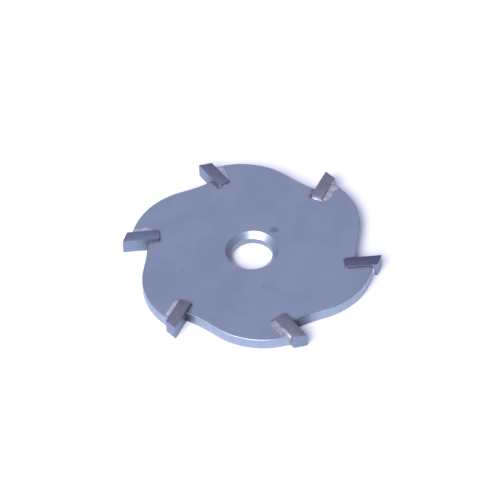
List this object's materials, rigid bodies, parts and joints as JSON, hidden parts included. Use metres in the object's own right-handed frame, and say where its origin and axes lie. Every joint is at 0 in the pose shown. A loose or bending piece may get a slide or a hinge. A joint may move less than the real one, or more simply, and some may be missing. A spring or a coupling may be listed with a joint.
{
  "type": "carving disc",
  "caption": "Lobed steel carving disc with hooked carbide cutting tips brazed into its rim and a countersunk centre bore, for a small carving arm.",
  "frame": {"origin": "on the bore axis, in the plane of the plate's underside, the face that lies on the machine's flange", "axes": "+Z along the bore axis towards the countersunk face; +X through the cutting corner of tip 1; seen from +Z the disc turns counter-clockwise"},
  "size_m": [0.05, 0.0462, 0.003],
  "materials": {
    "plate_steel": "matte",
    "carbide": "satin",
    "silver_braze": "satin"
  },
  "bodies": {
    "root": {"disc_body": "plate_steel", "carbide_tip_1": "carbide", "carbide_tip_2": "carbide", "carbide_tip_3": "carbide", "carbide_tip_4": "carbide", "carbide_tip_5": "carbide", "carbide_tip_6": "carbide", "braze_joint_1": "silver_braze", "braze_joint_2": "silver_braze", "braze_joint_3": "silver_braze", "braze_joint_4": "silver_braze", "braze_joint_5": "silver_braze", "braze_joint_6": "silver_braze"}
  },
  "joints": []
}
